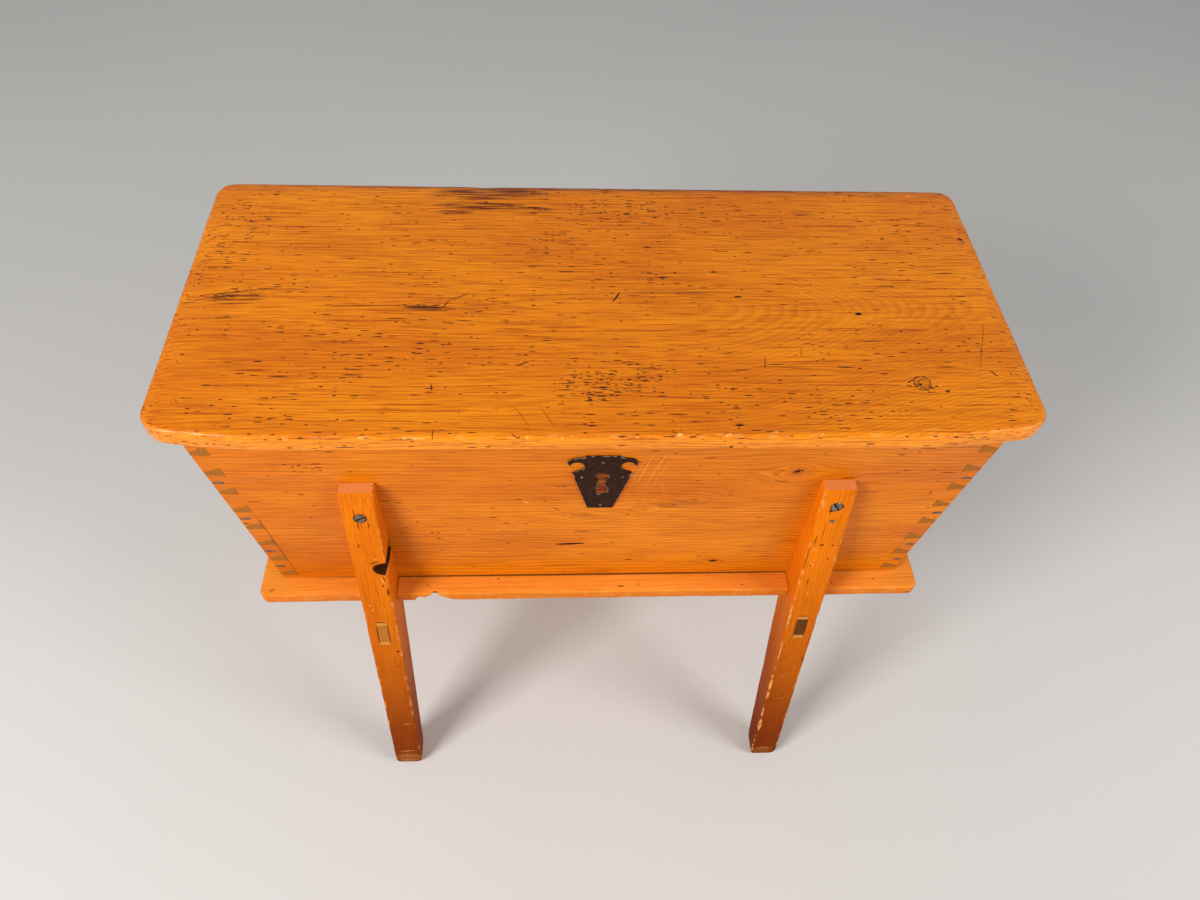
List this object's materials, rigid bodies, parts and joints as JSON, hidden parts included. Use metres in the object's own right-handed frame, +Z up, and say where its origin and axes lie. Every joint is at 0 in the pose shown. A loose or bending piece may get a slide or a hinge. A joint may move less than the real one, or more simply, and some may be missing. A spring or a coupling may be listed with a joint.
{
  "type": "dough box on stand",
  "caption": "Pine dough box with dovetailed canted ends, an overhanging hinged lid and an iron lock plate, on splayed legs tied by wedged bearers.",
  "frame": {"origin": "on the floor, under the middle of the object", "axes": "+X along the length, to the right seen from the front; +Y to the back; +Z up. The lock plate faces -Y."},
  "size_m": [1, 0.6222, 0.7366],
  "materials": {
    "lid_wood": "honey pine under worn varnish, glossy",
    "box_wood": "honey pine under worn varnish, satin",
    "leg_wood": "reddish brown varnished softwood, worn",
    "wedge_wood": "pale end grain",
    "dark_iron": "blackened wrought iron",
    "screw_steel": "tarnished steel"
  },
  "bodies": {
    "box_and_stand": {"front_board": "box_wood", "back_board": "box_wood", "left_end_board": "box_wood", "right_end_board": "box_wood", "bottom_board": "box_wood", "front_left_leg": "leg_wood", "front_right_leg": "leg_wood", "back_left_leg": "leg_wood", "back_right_leg": "leg_wood", "left_bearer": "leg_wood", "right_bearer": "leg_wood", "front_left_upper_wedge": "wedge_wood", "front_left_lower_wedge": "wedge_wood", "front_right_upper_wedge": "wedge_wood", "front_right_lower_wedge": "wedge_wood", "back_left_upper_wedge": "wedge_wood", "back_left_lower_wedge": "wedge_wood", "back_right_upper_wedge": "wedge_wood", "back_right_lower_wedge": "wedge_wood", "front_left_leg_screw": "screw_steel", "front_right_leg_screw": "screw_steel", "back_left_leg_screw": "screw_steel", "back_right_leg_screw": "screw_steel", "front_right_leg_nail": "dark_iron", "front_left_corner_nail_1": "dark_iron", "front_left_corner_nail_2": "dark_iron", "front_left_corner_nail_3": "dark_iron", "front_left_corner_nail_4": "dark_iron", "front_right_corner_nail_1": "dark_iron", "front_right_corner_nail_2": "dark_iron", "front_right_corner_nail_3": "dark_iron", "front_right_corner_nail_4": "dark_iron", "escutcheon_plate": "dark_iron", "escutcheon_pin_top": "dark_iron", "escutcheon_pin_left": "dark_iron", "escutcheon_pin_right": "dark_iron", "escutcheon_pin_foot": "dark_iron", "left_hinge_leaf": "dark_iron", "right_hinge_leaf": "dark_iron", "left_hinge_pin": "dark_iron", "right_hinge_pin": "dark_iron", "left_hinge_leaf_screw_1": "dark_iron", "left_hinge_leaf_screw_2": "dark_iron", "right_hinge_leaf_screw_1": "dark_iron", "right_hinge_leaf_screw_2": "dark_iron"},
    "lid": {"lid": "lid_wood", "left_lid_batten": "box_wood", "right_lid_batten": "box_wood", "left_hinge_strap": "dark_iron", "right_hinge_strap": "dark_iron", "left_hinge_strap_screw_1": "dark_iron", "left_hinge_strap_screw_2": "dark_iron", "right_hinge_strap_screw_1": "dark_iron", "right_hinge_strap_screw_2": "dark_iron", "left_lid_batten_front_screw": "screw_steel", "left_lid_batten_back_screw": "screw_steel", "right_lid_batten_front_screw": "screw_steel", "right_lid_batten_back_screw": "screw_steel"}
  },
  "joints": [
    {"name": "lid_hinge", "type": "hinge", "parent": "box_and_stand", "child": "lid", "pos_m": [0, 0.1938, 0.7078], "axis": [-1, 0, 0], "range_deg": [0, 100]}
  ]
}
